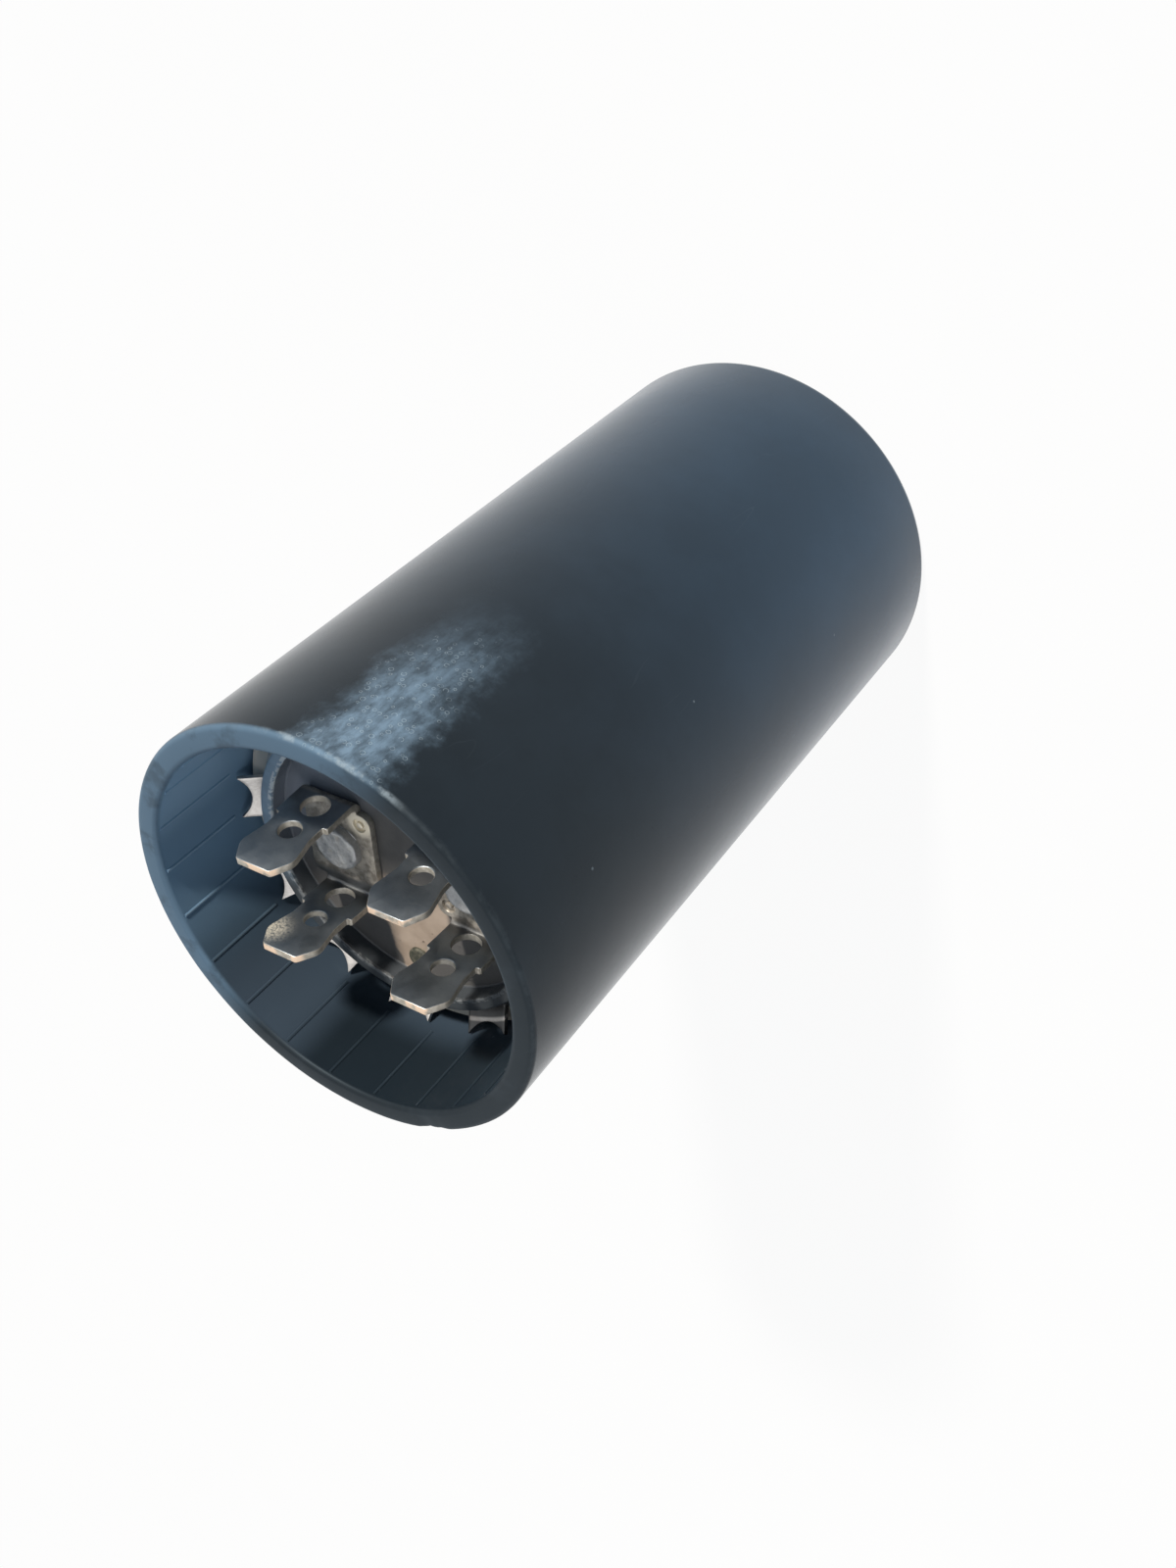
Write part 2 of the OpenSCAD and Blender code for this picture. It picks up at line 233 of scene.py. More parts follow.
def row_round(tree, given, item):
    """Copies at even steps round the axis, for a tree that has a Count and a Turn."""
    spots = put(tree, "GeometryNodePoints", {"Count": given.outputs["Count"]})
    step = put(tree, "ShaderNodeMath", {0: math.tau, 1: given.outputs["Count"]},
               operation="DIVIDE")
    number = put(tree, "GeometryNodeInputIndex")
    angle = put(tree, "ShaderNodeMath", {0: number.outputs[0], 1: step.outputs[0],
                                         2: given.outputs["Turn"]}, operation="MULTIPLY_ADD")
    return copies(tree, spots, item, put(tree, "ShaderNodeCombineXYZ", {"Z": angle.outputs[0]}))


def hand_over(tree, given, done, shape):
    """Gives the shape its finish and sends it out of the tree."""
    coat = put(tree, "GeometryNodeSetMaterial",
               {"Geometry": shape, "Material": given.outputs["Finish"]})
    tree.links.new(coat.outputs[0], done.inputs[0])


def patterned(piece, tree, values):
    """Runs a tree on a piece and keeps the result as the piece's plain mesh."""
    step = piece.modifiers.new(tree.name, "NODES")
    step.node_group = tree
    for item in tree.interface.items_tree:
        if item.item_type == "SOCKET" and item.in_out == "INPUT" and item.name in values:
            step[item.identifier] = values[item.name]
    shown = bpy.context.evaluated_depsgraph_get()
    mesh = bpy.data.meshes.new_from_object(piece.evaluated_get(shown), depsgraph=shown)
    piece.modifiers.remove(step)
    piece.data = mesh


def reckon(tree, work, first, second=0.0):
    """One sum with one or two amounts."""
    return put(tree, "ShaderNodeMath", {0: first, 1: second}, operation=work).outputs[0]


def times(tree, first, *others):
    """The product of several amounts."""
    for other in others:
        first = reckon(tree, "MULTIPLY", first, other)
    return first


def axes(tree, place):
    """The X, Y and Z of a place."""
    return put(tree, "ShaderNodeSeparateXYZ", {"Vector": place}).outputs


def reach(tree, place, way):
    """How far a place lies in one direction."""
    return put(tree, "ShaderNodeVectorMath", {0: place, 1: way},
               operation="DOT_PRODUCT").outputs["Value"]


def round_wall(tree, place):
    """Distance round the wall, height, and distance from the axis."""
    at = axes(tree, place)
    around = times(tree, reckon(tree, "ARCTAN2", at["Y"], at["X"]), case_r * MM)
    square = reckon(tree, "ADD", times(tree, at["X"], at["X"]), times(tree, at["Y"], at["Y"]))
    return around, at["Z"], reckon(tree, "SQRT", square)


def handled_rim(radius, height, angle):
    """The rim is a little uneven from the mould, with one bruise on its outer edge."""
    if height < case_h - rim_round - 0.01 or radius < mouth_r + 0.3:
        return radius, height
    spot = Vector((math.cos(angle) * 6.0, math.sin(angle) * 6.0, 0.3))
    drop = 0.02 + 0.02 * noise.noise(spot)
    turn_off = abs((math.degrees(angle) - nick_turn + 180) % 360 - 180)
    away = turn_off * math.radians(1) * case_r / nick_wide
    if away < 1 and radius > case_r - 0.7:
        bruise = nick_deep * (1 - away * away) * (0.6 + 0.8 * noise.noise(spot * 5.0))
        return radius - max(0.0, bruise), height - drop - max(0.0, bruise) * 0.5
    return radius, height - drop


case_section = ([(0, 0), (8, 0), (16, 0)]
                + bow(case_r - foot_round, foot_round, foot_round, -90, 0)
                + [(case_r, 12), (case_r, 30), (case_r, 50), (case_r, 70)]
                + bow(case_r - rim_round, case_h - rim_round, rim_round, 0, 90)
                + bow(mouth_r + rim_round, case_h - rim_round, rim_round, 90, 180)
                + [(mouth_r, 80), (mouth_r, 74), (mouth_r, seat_z), (bore_r, seat_z),
                   (bore_r, 40), (bore_r, floor_z), (10, floor_z), (0, floor_z)])
case = placed("case_shell", turned("case_shell", case_section, case_steps, shape=handled_rim))

# several of these colours are painted light: a blue glare, fill light in shade, highlights on the ribs and
# a blue sky reflection on the rim
black, black_worn, far_glare_blue = (0.0045, 0.0070, 0.0100), (0.0070, 0.0110, 0.0160), (0.021, 0.052, 0.098)
inner_black, inner_painted_fill = (0.0105, 0.017, 0.024), (0.098, 0.142, 0.203)
glare_colour, glare_pale = (0.20, 0.34, 0.50), (0.33, 0.53, 0.74)
rib_highlight_dim, rib_highlight_pale = (0.035, 0.052, 0.070), (0.44, 0.60, 0.74)
rim_dark, rim_painted_sky, rim_smudge = (0.008, 0.011, 0.014), (0.105, 0.175, 0.258), (0.018, 0.024, 0.031)
splash, splash_ring, splash_turn = (0.22, 0.335, 0.47), (0.50, 0.63, 0.73), 79.0
rubbed_grey, speck_grey = (0.31, 0.38, 0.44), (0.20, 0.25, 0.30)
case_gloss = {"IOR": 1.6, "Specular IOR Level": 0.2, "Specular Tint": (0.66, 0.84, 1.0, 1.0),
              "Sheen Weight": 0.06, "Sheen Roughness": 0.45, "Sheen Tint": (0.50, 0.76, 1.0, 1.0)}

moulded, tree, shader = finish("black moulded plastic")
for socket, value in case_gloss.items():
    shader.inputs[socket].default_value = value
place = own_place(tree)
around, up, out = round_wall(tree, place)
mottle = clouds(tree, place, 90, 4.0)
skin = shades(tree, mottle, 0.35, 0.68, black, black_worn)
# a painted blue glare, thicker towards the closed end and weaker on the side the key lights
painted_far_glare = times(tree, ramp(tree, up, 0.078, 0.004), ramp(tree, mottle, 0.3, 0.7, 0.85, 1.0),
             ramp(tree, axes(tree, place)["Y"], 0.010, 0.021, 1.0, 0.6))
skin = blended(tree, painted_far_glare, skin, far_glare_blue)
# the inner wall: a painted blue glare on one side, and painted fill light on the other side and low down,
# where the tabs and the cover shade it
inside = ramp(tree, out, (mouth_r + 0.4) * MM, mouth_r * MM)
glare_side = ramp(tree, reach(tree, place, (-0.574, 0.819, 0.0)), -0.003, 0.011)
fill_side = ramp(tree, reach(tree, place, (-0.616, -0.788, 0.0)), 0.0188, 0.0204, 0.0, 0.42)
painted_fill = reckon(tree, "MAXIMUM", fill_side, ramp(tree, up, 0.0785, 0.0735, 0.0, 0.35))
inner = blended(tree, painted_fill, inner_black, inner_painted_fill)
painted_glare = shades(tree, reach(tree, place, (-0.829, 0.559, 0.0)), 0.0180, 0.0203, glare_colour, glare_pale)
skin = blended(tree, times(tree, inside, 0.9), skin, blended(tree, glare_side, inner, painted_glare))
# the ribs, with a painted highlight paler than the wall between them, brightest on the glare side
rib_highlight = times(tree, ramp(tree, out, (mouth_r - 0.06) * MM, (mouth_r - 0.14) * MM), inside,
              ramp(tree, mottle, 0.35, 0.65, 0.3, 0.7))
skin = blended(tree, rib_highlight, skin, blended(tree, glare_side, rib_highlight_dim, rib_highlight_pale))
# the top of the rim, with a painted blue sky reflection on one side, and dark smudges
rim_top = ramp(tree, up, (case_h - 0.7) * MM, (case_h - 0.2) * MM)
rim = shades(tree, reach(tree, place, (-0.866, 0.50, 0.0)), 0.000, 0.010, rim_dark, rim_painted_sky)
skin = blended(tree, times(tree, rim_top, 0.9), skin, rim)
smudge = times(tree, rim_top, ramp(tree, clouds(tree, place, 230, 4.0, 0.6), 0.50, 0.66), 0.45)
skin = blended(tree, smudge, skin, rim_smudge)
# dried splashes: a pale bloom below the mouth, on one side, full of small rings left by drops
flat = put(tree, "ShaderNodeCombineXYZ", {"X": around, "Y": up}).outputs["Vector"]
ragged = reckon(tree, "SUBTRACT", clouds(tree, flat, 260, 5.0, 0.65), 0.5)
ragged = times(tree, ragged, 0.0075)
off = reckon(tree, "SUBTRACT", around, math.radians(splash_turn) * case_r * MM)
off = reckon(tree, "ABSOLUTE", reckon(tree, "ADD", off, ragged))
streaky = put(tree, "ShaderNodeMapping", {"Vector": flat, "Scale": (1.0, 0.4, 1.0)}).outputs["Vector"]
bloom = times(tree, ramp(tree, off, 0.0060, 0.0006),
              ramp(tree, reckon(tree, "ADD", up, ragged), 0.0580, 0.0800),
              ramp(tree, out, (case_r - 0.4) * MM, (case_r - 0.1) * MM),
              ramp(tree, clouds(tree, streaky, 900, 5.0, 0.65), 0.32, 0.68, 0.35, 1.0))
drops = put(tree, "ShaderNodeTexVoronoi", {"Vector": flat, "Scale": 1450.0, "Randomness": 1.0},
            voronoi_dimensions="2D").outputs
chance = put(tree, "ShaderNodeSeparateColor", {"Color": drops["Color"]}).outputs
edge = reckon(tree, "SUBTRACT", drops["Distance"], ramp(tree, chance["Red"], 0.0, 1.0, 0.18, 0.34))
rings = times(tree, ramp(tree, reckon(tree, "ABSOLUTE", edge), 0.065, 0.01),
              ramp(tree, chance["Green"], 0.55, 0.90), ramp(tree, bloom, 0.04, 0.30))
skin = blended(tree, times(tree, bloom, 0.66), skin, splash)
skin = blended(tree, times(tree, rings, 0.28), skin, splash_ring)
# the rubbed outer edge of the rim, dust specks and hair scratches
rub = times(tree, ramp(tree, up, (case_h - 0.8) * MM, (case_h - 0.4) * MM),
            ramp(tree, out, (case_r - 0.45) * MM, (case_r - 0.15) * MM),
            ramp(tree, clouds(tree, place, 420, 4.0, 0.7), 0.42, 0.58),
            ramp(tree, off, 0.0085, 0.0045, 0.06, 1.0), 0.55)
skin = blended(tree, rub, skin, rubbed_grey)
specks = put(tree, "ShaderNodeTexVoronoi", {"Vector": place, "Scale": 210.0}).outputs["Distance"]
dust = times(tree, ramp(tree, specks, 0.040, 0.018),
             ramp(tree, clouds(tree, place, 120), 0.50, 0.58), 0.45)
hairs = clouds(tree, own_place(tree, (1.0, 1.0, 0.10), (0.4, 0.2, 0.0)), 260, 1.0)
hairs = reckon(tree, "ABSOLUTE", reckon(tree, "SUBTRACT", hairs, 0.5))
hairs = times(tree, ramp(tree, hairs, 0.0035, 0.0008),
              ramp(tree, clouds(tree, place, 60), 0.54, 0.66), 0.03)
skin = blended(tree, reckon(tree, "MAXIMUM", dust, hairs), skin, speck_grey)
# dulled by the splashes, inside the mouth and most of all on the rim
dulled = reckon(tree, "MAXIMUM", times(tree, inside, 0.15), times(tree, rim_top, 0.38))
dulled = reckon(tree, "ADD", dulled, times(tree, bloom, 0.25))
rough = reckon(tree, "ADD", ramp(tree, mottle, 0.3, 0.7, 0.17, 0.22), dulled)
peel = relief(tree, clouds(tree, place, 420, 2.0), 0.000012)
peel = relief(tree, clouds(tree, place, 5200, 2.0), 0.0000035, peel)
dress(tree, shader, skin, rough, relief(tree, rings, 0.00002, peel))

ribs, given, done = pattern("mouth ribs", {"Count": "Int", "Turn": "Float", "Wall": "Float",
                                           "From": "Float", "To": "Float", "Half width": "Float",
                                           "Finish": "Material"})
low, high = (put(ribs, "ShaderNodeCombineXYZ", {"X": given.outputs["Wall"], "Z": given.outputs[end]})
             for end in ("From", "To"))
line = put(ribs, "GeometryNodeCurvePrimitiveLine", {"Start": low.outputs[0], "End": high.outputs[0]})
bead = put(ribs, "GeometryNodeCurvePrimitiveCircle",
           {"Resolution": 14, "Radius": given.outputs["Half width"]})
rib = put(ribs, "GeometryNodeCurveToMesh", {"Curve": line.outputs["Curve"], "Fill Caps": True,
                                            "Profile Curve": bead.outputs["Curve"]})
join = put(ribs, "GeometryNodeJoinGeometry")
ribs.links.new(row_round(ribs, given, rib.outputs[0]), join.inputs[0])
ribs.links.new(given.outputs["Geometry"], join.inputs[0])
hand_over(ribs, given, done, join.outputs[0])
patterned(case, ribs, {"Count": rib_count, "Turn": math.radians(rib_turn),
                       "Wall": (mouth_r + rib_sunk) * MM, "From": rib_from * MM, "To": rib_to * MM,
                       "Half width": rib_w / 2 * MM, "Finish": moulded})
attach(case, "root")
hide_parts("case")


# The leads: soft aluminium strips from the foils of the winding, one for each rivet. Each comes
# up through a slot in the card and is pinched between the plate and a washer.
strip = two_tone("soft aluminium strip", (0.52, 0.53, 0.54), (0.70, 0.71, 0.72), fade=(0.35, 0.65),
                 rough=(0.28, 0.45), depth=0.00001, grain=3500, detail=3.0,
                 stretch=(1.0, 0.08, 1.0), metal=1.0)
for name in ("lead_a", "lead_b"):
    wear(name, strip)


# The washers: plain stamped steel, one under the plate on each rivet. The rivet's foot spreads
# against it and clamps the lead.
plain_steel = two_tone("plain washer steel", (0.36, 0.36, 0.37), (0.55, 0.55, 0.56),
                       fade=(0.35, 0.68), rough=(0.30, 0.48), depth=0.00001, grain=1800, metal=1.0)
for name in ("washer_a", "washer_b"):
    wear(name, plain_steel)


# The gasket: a black rubber ring, cut from tube. It lies on the seat in the case, and the plate
# is pressed down on it to seal the mouth.
rubber = two_tone("black gasket rubber", (0.012, 0.012, 0.012), (0.05, 0.05, 0.05),
                  fade=(0.45, 0.75), rough=(0.65, 0.85), depth=0.00003, grain=1500)
wear("sealing_gasket", rubber)


# The terminal plate: a disc moulded in tan phenolic, with a raised rim round the terminals.
# The rim's inner edge carries a thin torn flash where the mould closed.
plate_r, plate_z, shoulder_z, face_z, plate_steps = 20.13, 68.9, 72.3, 72.9, 720
lip_in, lip_out, lip_top, lip_round = 15.3, 16.6, 75.2, 0.2


def torn_flash(radius, height, angle):
    """Moves the rim's inner edge in and out, and up a little, as a torn flash."""
    if not (lip_in - 0.01 < radius < lip_in + 0.21 and height > lip_top - 0.3):
        return radius, height
    spot = Vector((math.cos(angle) * 14.0, math.sin(angle) * 14.0, 1.7))
    tear = noise.noise(spot) * 0.6 + noise.noise(spot * 3.1) * 0.4
    rise = 0.05 + 0.06 * noise.noise(spot * 2.0)
    return radius - 0.06 - 0.12 * tear, min(lip_top, height + rise)


plate_section = ([(0, plate_z), (plate_r - 0.2, plate_z), (plate_r, plate_z + 0.2),
                  (plate_r, shoulder_z - 0.12), (plate_r - 0.12, shoulder_z), (18.4, shoulder_z),
                  (lip_out + 0.08, shoulder_z), (lip_out, shoulder_z + 0.08)]
                 + bow(lip_out - lip_round, lip_top - lip_round, lip_round, 0, 90, 4)
                 + [(lip_in + inset, lip_top - drop) for inset, drop in
                    ((0.7, 0.0), (0.35, 0.01), (0.2, 0.03), (0.08, 0.05), (0.0, 0.14), (0.0, 0.28),
                     (0.0, 0.5))]
                 + [(lip_in, 74.0), (lip_in, face_z + 0.15), (lip_in - 0.15, face_z), (12, face_z),
                    (6, face_z), (0, face_z)])
plate = placed("terminal_plate_disc",
               turned("terminal_plate_disc", plate_section, plate_steps, shape=torn_flash))

# several of these colours are painted light: a pale shoulder, shade over the face and the raised rim, and a
# blue sky reflection on the rim
tan_dark, tan_light, shoulder_painted_light = (0.41, 0.325, 0.26), (0.52, 0.425, 0.35), (0.93, 0.82, 0.70)
grit_black, sweat_brown = (0.05, 0.04, 0.035), (0.26, 0.19, 0.14)
painted_shade_dark, painted_shade_skylit = (0.095, 0.097, 0.100), (0.27, 0.30, 0.36)
lip_painted_shade, lip_painted_skylit, lip_painted_sky = (0.055, 0.064, 0.074), (0.20, 0.225, 0.27), (0.42, 0.56, 0.69)
flash_white = (0.88, 0.93, 0.96)

phenolic, tree, shader = finish("tan phenolic")
shader.inputs["Specular IOR Level"].default_value = 0.4
place = own_place(tree)
at = axes(tree, place)
up, out = round_wall(tree, place)[1:]
tan = shades(tree, clouds(tree, place, 260, 5.0), 0.34, 0.68, tan_dark, tan_light)
grit = put(tree, "ShaderNodeTexVoronoi", {"Vector": place, "Scale": 900.0}).outputs["Distance"]
grit = times(tree, ramp(tree, grit, 0.26, 0.12), ramp(tree, clouds(tree, place, 700), 0.55, 0.64))
tan = blended(tree, times(tree, grit, 0.8), tan, grit_black)
sweat = ramp(tree, clouds(tree, place, 140, 3.0), 0.55, 0.75)
tan = blended(tree, times(tree, sweat, 0.35), tan, sweat_brown)
# painted shade over the face, bluer on one side as if lit by the sky, apart from one place between the
# terminals that keeps its own tan
shade_edge = reckon(tree, "ADD", reach(tree, place, (0.958, 0.285, 0.0)),
              times(tree, clouds(tree, place, 300, 4.0), 0.002))
unshaded = times(tree, ramp(tree, shade_edge, -0.0060, -0.0052), ramp(tree, at["Y"], -0.0020, -0.0050),
              ramp(tree, at["X"], 0.0048, 0.0036),
              ramp(tree, reach(tree, place, (0.90, -0.44, 0.0)), 0.0076, 0.0068))
skylit_side = ramp(tree, reach(tree, place, (-0.707, 0.707, 0.0)), 0.004, 0.013)
painted_shade = blended(tree, skylit_side, painted_shade_dark, painted_shade_skylit)
tan = blended(tree, ramp(tree, unshaded, 0.0, 1.0, 0.95, 0.0), tan, painted_shade)
# the shoulder outside the raised rim, painted pale as if in sunlight
tan = blended(tree, times(tree, ramp(tree, out, 0.0165, 0.0168), 0.92), tan, shoulder_painted_light)
# the raised rim, with painted shade and a painted blue sky reflection on one side; the pale torn flash
# along its inner edge is painted brightest on that side
lip = times(tree, ramp(tree, out, 0.01505, 0.01530), ramp(tree, out, 0.01680, 0.01665))
left = times(tree, ramp(tree, at["X"], -0.006, -0.013), ramp(tree, up, 0.0746, 0.0750),
             ramp(tree, at["Y"], -0.0080, -0.0035))
faded = times(tree, left, ramp(tree, clouds(tree, place, 500, 4.0), 0.35, 0.7, 0.7, 1.0))
lip_skin = blended(tree, faded, blended(tree, skylit_side, lip_painted_shade, lip_painted_skylit), lip_painted_sky)
tan = blended(tree, lip, tan, lip_skin)
flash = times(tree, ramp(tree, out, 0.01572, 0.01556), ramp(tree, up, 0.07470, 0.07490),
              ramp(tree, clouds(tree, place, 1500, 4.0), 0.44, 0.54),
              reckon(tree, "MAXIMUM", left, 0.12))
tan = blended(tree, flash, tan, flash_white)
rough = reckon(tree, "SUBTRACT", ramp(tree, clouds(tree, place, 600), 0.3, 0.7, 0.48, 0.64),
               times(tree, lip, 0.10))
coarse = relief(tree, clouds(tree, place, 1400, 4.0), 0.00004)
dress(tree, shader, tan, rough, relief(tree, grit, 0.00003, coarse))
plate.data.materials.append(phenolic)
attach(plate, "root")
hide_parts("terminal_plate")


# The vent plug: a soft rubber plug, dark olive, pushed through a hole in the plate beside the
# terminals. It blows out before the case can burst.
vent_y, vent_r, vent_stem_r, vent_head, vent_round, vent_steps = -12.9, 1.3, 0.8, 0.4, 0.22, 64
vent_low, vent_high = plate_z - vent_head, face_z + vent_head
vent_section = ([(0, vent_low), (vent_r - 0.15, vent_low), (vent_r, vent_low + 0.15),
                 (vent_r, plate_z), (vent_stem_r, plate_z), (vent_stem_r, face_z), (vent_r, face_z)]
                + bow(vent_r - vent_round, vent_high - vent_round, vent_round, 0, 90)
                + [(0.5, vent_high - 0.03), (0, vent_high - 0.06)])
plug = placed("vent_plug_rubber",
              turned("vent_plug_rubber", vent_section, vent_steps, (0.0, vent_y)))
olive = two_tone("olive vent rubber", (0.045, 0.048, 0.036), (0.13, 0.125, 0.095),
                 fade=(0.38, 0.70), rough=(0.50, 0.75), depth=0.00004, grain=2200)
plug.data.materials.append(olive)
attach(plug, "root")
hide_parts("vent_plug")


# The retaining ring: bright spring steel, stamped with twelve hollow-ended teeth and dished, so
# that it pushes down over the plate and its points bite into the wall of the mouth.
ring_t, band_in, root_r, point_r = 0.5, 16.8, 18.0, 20.4
tooth_count, tooth_turn, tooth_half, tooth_tilt, tooth_hollow = 12, 26.5, 2.6, 40.0, 0.9
tooth_end = math.sqrt(point_r ** 2 - tooth_half ** 2)
hollow_r = (tooth_half ** 2 + tooth_hollow ** 2) / (2 * tooth_hollow)
gap_steps, tooth_steps, slope_steps = 5, 14, 6
ring_edge, ring_corner, weld_gap = 0.06, 50.0, 0.005


def dished(x, y):
    """The underside of the ring: flat on the plate, then up the slope of a tooth."""
    rise = max(0.0, math.hypot(x, y) - root_r) * math.tan(math.radians(tooth_tilt))
    return (x * MM, y * MM, (shoulder_z + rise) * MM)


shape = bmesh.new()
root_half = math.asin(tooth_half / root_r)
gap_half = math.pi / tooth_count - root_half
angles = ([-root_half - gap_half + gap_half * i / gap_steps for i in range(gap_steps)]
          + [-root_half + 2 * root_half * i / tooth_steps for i in range(tooth_steps + 1)]
          + [root_half + gap_half * i / gap_steps for i in range(1, gap_steps + 1)])
columns = []
for a in angles:
    column = [shape.verts.new(dished(r * math.cos(a), r * math.sin(a)))
              for r in (band_in, 17.2, 17.6, root_r)]
    if abs(a) < root_half + 1e-6:
        y = root_r * math.sin(a)
        start = math.sqrt(root_r ** 2 - y * y)
        end = tooth_end + hollow_r - tooth_hollow - math.sqrt(max(0.0, hollow_r ** 2 - y * y))
        column += [shape.verts.new(dished(start + (end - start) * i / slope_steps, y))
                   for i in range(1, slope_steps + 1)]
    columns.append(column)
for first, second in zip(columns, columns[1:]):
    for i in range(min(len(first), len(second)) - 1):
        shape.faces.new((first[i], first[i + 1], second[i + 1], second[i]))
sector = bpy.data.meshes.new("ring_sector")
shape.to_mesh(sector)
shape.free()
ring = placed("retaining_ring_steel", sector)


def gap(tree, place, spot):
    """The distance of a place from one spot."""
    return put(tree, "ShaderNodeVectorMath", {0: place, 1: spot},
               operation="DISTANCE").outputs["Value"]


steel_dark, steel_bright = (0.50, 0.48, 0.46), (0.66, 0.64, 0.62)
# the second of these two colours is painted shade
tarnish_brown, ring_painted_shade = (0.36, 0.30, 0.25), (0.030, 0.034, 0.038)
painted_shade_spot = (0.0100, -0.0180, 0.0735)

spring, tree, shader = finish("bright spring steel")
shader.inputs["Metallic"].default_value = 0.9
place = own_place(tree)
rolled = clouds(tree, own_place(tree, (0.12, 1.0, 1.0)), 4200, 4.0, 0.7)
tarnish = clouds(tree, place, 420, 4.0)
metal = shades(tree, rolled, 0.30, 0.72, steel_dark, steel_bright)
metal = blended(tree, times(tree, ramp(tree, tarnish, 0.55, 0.72), 0.40), metal, tarnish_brown)
# painted shade over one stretch of the teeth, with a painted reflection line left across them
painted_shade_stretch = reckon(tree, "ADD", gap(tree, place, painted_shade_spot), times(tree, tarnish, 0.003))
out = round_wall(tree, place)[2]
painted_reflection_line = times(tree, ramp(tree, out, 0.0186, 0.0188), ramp(tree, out, 0.0191, 0.0189, 0.0, 0.55))
painted_shade_stretch = times(tree, ramp(tree, painted_shade_stretch, 0.0105, 0.0060, 0.0, 0.92),
             reckon(tree, "SUBTRACT", 1.0, painted_reflection_line))
metal = blended(tree, painted_shade_stretch, metal, ring_painted_shade)
dress(tree, shader, metal, ramp(tree, rolled, 0.25, 0.75, 0.30, 0.44),
      relief(tree, rolled, 0.000012))

teeth, given, done = pattern("ring teeth", {"Count": "Int", "Turn": "Float", "Finish": "Material"})
weld = put(teeth, "GeometryNodeMergeByDistance",
           {"Geometry": row_round(teeth, given, given.outputs["Geometry"]), "Distance": weld_gap * MM})
hand_over(teeth, given, done, weld.outputs[0])
patterned(ring, teeth, {"Count": tooth_count, "Turn": math.radians(tooth_turn), "Finish": spring})
thick = ring.modifiers.new("sheet", "SOLIDIFY")
thick.thickness = ring_t * MM
thick.offset = 1.0
thick.use_even_offset = True
soften = ring.modifiers.new("stamped edge", "BEVEL")
soften.width = ring_edge * MM
soften.segments = 2
soften.limit_method = "ANGLE"
soften.angle_limit = math.radians(ring_corner)
soften.harden_normals = False
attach(ring, "root")
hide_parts("retaining_ring")


# The terminals: two straps stamped from 0.8 mm tinned sheet, each bent up at both ends into a
# blade tab with a latch hole and an eye. Their sheared edges are left bright.
tab_t, tab_w, tab_l, tab_lean, tab_shift = 0.8, 6.35, 10.85, 3.0, 0.6
strap_w, strap_l, strap_round = 8.2, 9.6, 1.2
bend_y, bend_z, bend_r, bend_steps = 4.95, 74.1, 0.4, 8
bend_l = (bend_r + tab_t / 2) * math.radians(90 + tab_lean)
neck_w, neck_from, neck_to, neck_fillet, tip_w, nib = 5.3, 5.1, 7.1, 0.12, 4.1, 0.15
head_x, head_at, head_round, head_from, head_to = 1.575, 2.4, 1.6, -11.7, 29.6
latch_at, latch_r, eye_at, eye_r, hole_r, hole_steps = 5.5, 1.15, 9.3, 1.5, 1.35, 40
outer_edge, latch_edge, eye_edge, hole_edge = 0.09, 0.20, 0.10, 0.05
edge_angles, cut_shares = (0.0, 0.52, 1.05, math.pi / 2), (0.0, 0.35, 0.8, 1.0)
mark_at, mark_steps = (2.75, 3.45), 32
mark_rings = ((0.80, 0.0), (0.75, 0.05), (0.70, 0.30), (0.42, 0.30), (0.35, 0.06), (0.25, 0.02))
terminal_x, terminal_y, terminal_sharp = -7.8, -0.5, 38.0


def strap_pattern():
    """The flat sheet before it is bent: its outline, then its holes, with each edge's round."""
    tip_y, shift = bend_y + bend_l + tab_l, -tab_shift
    neck_y = tip_y - neck_to
    corner_x, corner_y = strap_w / 2 - strap_round, strap_l / 2 - strap_round
    meets = math.degrees(math.acos((shift - tab_w / 2 + corner_x) / strap_round))
    side = ([(tab_w / 2, neck_y - nib), (tab_w / 2 - nib, neck_y), (neck_w / 2 + neck_fillet, neck_y),
             (neck_w / 2, neck_y + neck_fillet), (neck_w / 2, tip_y - neck_from)]
            + bow(head_x, tip_y - head_at, head_round, head_from, head_to, 10)
            + [(tip_w / 2 + 0.05, tip_y - nib), (tip_w / 2 - nib, tip_y)])
    half = ([(strap_w / 2, 0.0)] + bow(corner_x, corner_y, strap_round, 0, 90, 8)
            + [(shift + tab_w / 2, strap_l / 2)] + [(shift + x, y) for x, y in side]
            + [(shift - x, y) for x, y in reversed(side)]
            + bow(-corner_x, corner_y, strap_round, meets, 180, 6))
    loops = [(half + [(-x, -y) for x, y in half], outer_edge)]
    holes = [(sign * shift, sign * (tip_y - at), radius, edge) for sign in (1, -1)
             for at, radius, edge in ((latch_at, latch_r, latch_edge), (eye_at, eye_r, eye_edge))]
    for x, y, radius, edge in holes + [(0.0, 0.0, hole_r, hole_edge)]:
        loops.append((bow(x, y, radius, 360, 0, hole_steps)[:-1], edge))
    return loops


def inward(loop):
    """For each point of a loop, the way into the sheet, long enough to keep a mitre."""
    ways = []
    for i, here in enumerate(loop):
        before, after = Vector(loop[i - 1]), Vector(loop[(i + 1) % len(loop)])
        here = Vector(here)
        one, two = (here - before).normalized(), (after - here).normalized()
        one, two = Vector((-one.y, one.x)), Vector((-two.y, two.x))
        ways.append((one + two) / max(0.35, 1 + one.dot(two)))
    return ways


def joined(shape, rings):
    """Faces between each ring of points and the next."""
    for high, low in zip(rings, rings[1:]):
        for i in range(len(high)):
            j = (i + 1) % len(high)
            shape.faces.new((high[i], high[j], low[j], low[i]))


